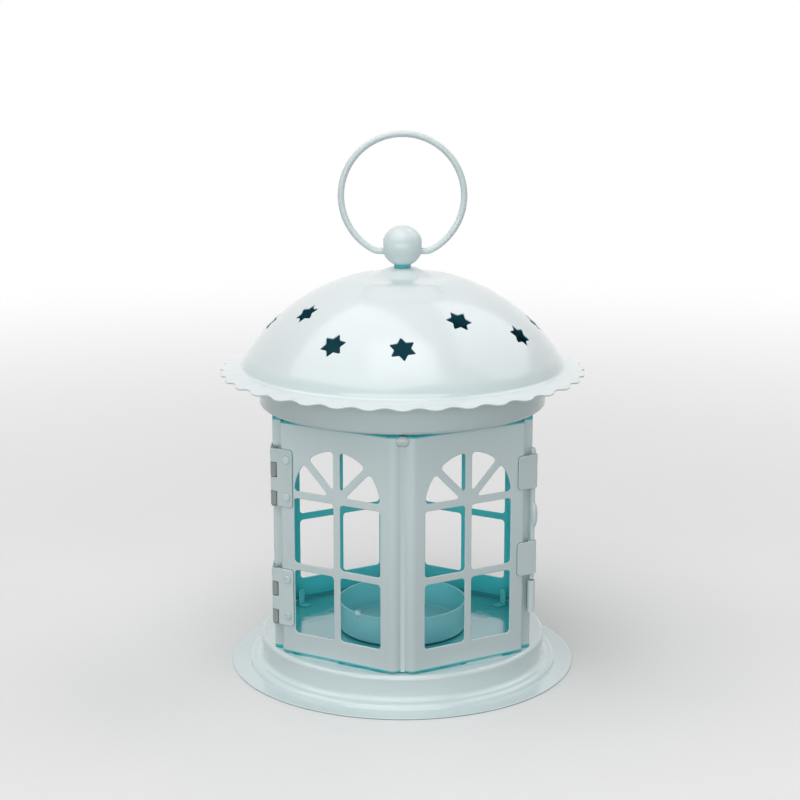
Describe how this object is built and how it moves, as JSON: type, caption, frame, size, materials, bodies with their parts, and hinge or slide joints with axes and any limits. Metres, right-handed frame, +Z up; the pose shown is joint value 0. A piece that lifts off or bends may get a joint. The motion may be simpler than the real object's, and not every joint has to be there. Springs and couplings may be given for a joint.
{
  "type": "tealight lantern",
  "caption": "Six-sided painted sheet-metal tealight lantern with arched windows, hinged latched door, candle cup, star-pierced domed roof and swinging ring handle.",
  "frame": {"origin": "middle of the base on the surface that it stands on", "axes": "+Z up, -Y towards the corner in the middle of the door, +X to the right as the door is faced, where the latch is"},
  "size_m": [0.1186, 0.1186, 0.1761],
  "materials": {
    "sheet_paint": "glossy pale mint paint",
    "hardware_paint": "glossy pale mint paint over the hardware",
    "finial_paint": "glossy pale mint paint"
  },
  "bodies": {
    "lantern_body": {"base_dish": "sheet_paint", "floor_clips": "hardware_paint", "candle_cup": "sheet_paint", "cup_rivet": "hardware_paint", "wall_panel_left": "sheet_paint", "wall_panel_right": "sheet_paint", "wall_panel_back_left": "sheet_paint", "wall_panel_back_right": "sheet_paint", "wall_corner_welds": "hardware_paint", "hinge_leaf_wall_upper": "hardware_paint", "hinge_leaf_wall_lower": "hardware_paint", "hinge_pin_upper": "hardware_paint", "hinge_pin_lower": "hardware_paint", "hinge_rivets_wall": "hardware_paint", "latch_keeper": "hardware_paint", "crown_clips": "hardware_paint", "crown_ring": "sheet_paint", "roof_dome": "sheet_paint", "roof_solder_drops": "hardware_paint", "finial_collar": "finial_paint", "finial_screw": "hardware_paint", "finial_ball": "finial_paint"},
    "door": {"door_panel_left": "sheet_paint", "door_panel_right": "sheet_paint", "door_corner_weld": "hardware_paint", "hinge_leaf_door_upper": "hardware_paint", "hinge_leaf_door_lower": "hardware_paint", "hinge_rivets_door": "hardware_paint", "latch_strap_upper": "hardware_paint", "latch_strap_lower": "hardware_paint"},
    "latch_bolt": {"latch_bolt": "hardware_paint"},
    "ring_handle": {"ring_handle": "finial_paint"}
  },
  "joints": [
    {"name": "door_hinge", "type": "hinge", "parent": "lantern_body", "child": "door", "pos_m": [-0.04065, -0.02347, 0], "axis": [0, 0, -1], "range_deg": [0, 150]},
    {"name": "bolt_slide", "type": "slide", "parent": "door", "child": "latch_bolt", "axis": [0, 0, 1], "range_m": [-0.004, 0.004]},
    {"name": "ring_swing", "type": "hinge", "parent": "lantern_body", "child": "ring_handle", "pos_m": [0, 0, 0.13756], "axis": [1, 0, 0], "range_deg": [-110, 110]}
  ]
}
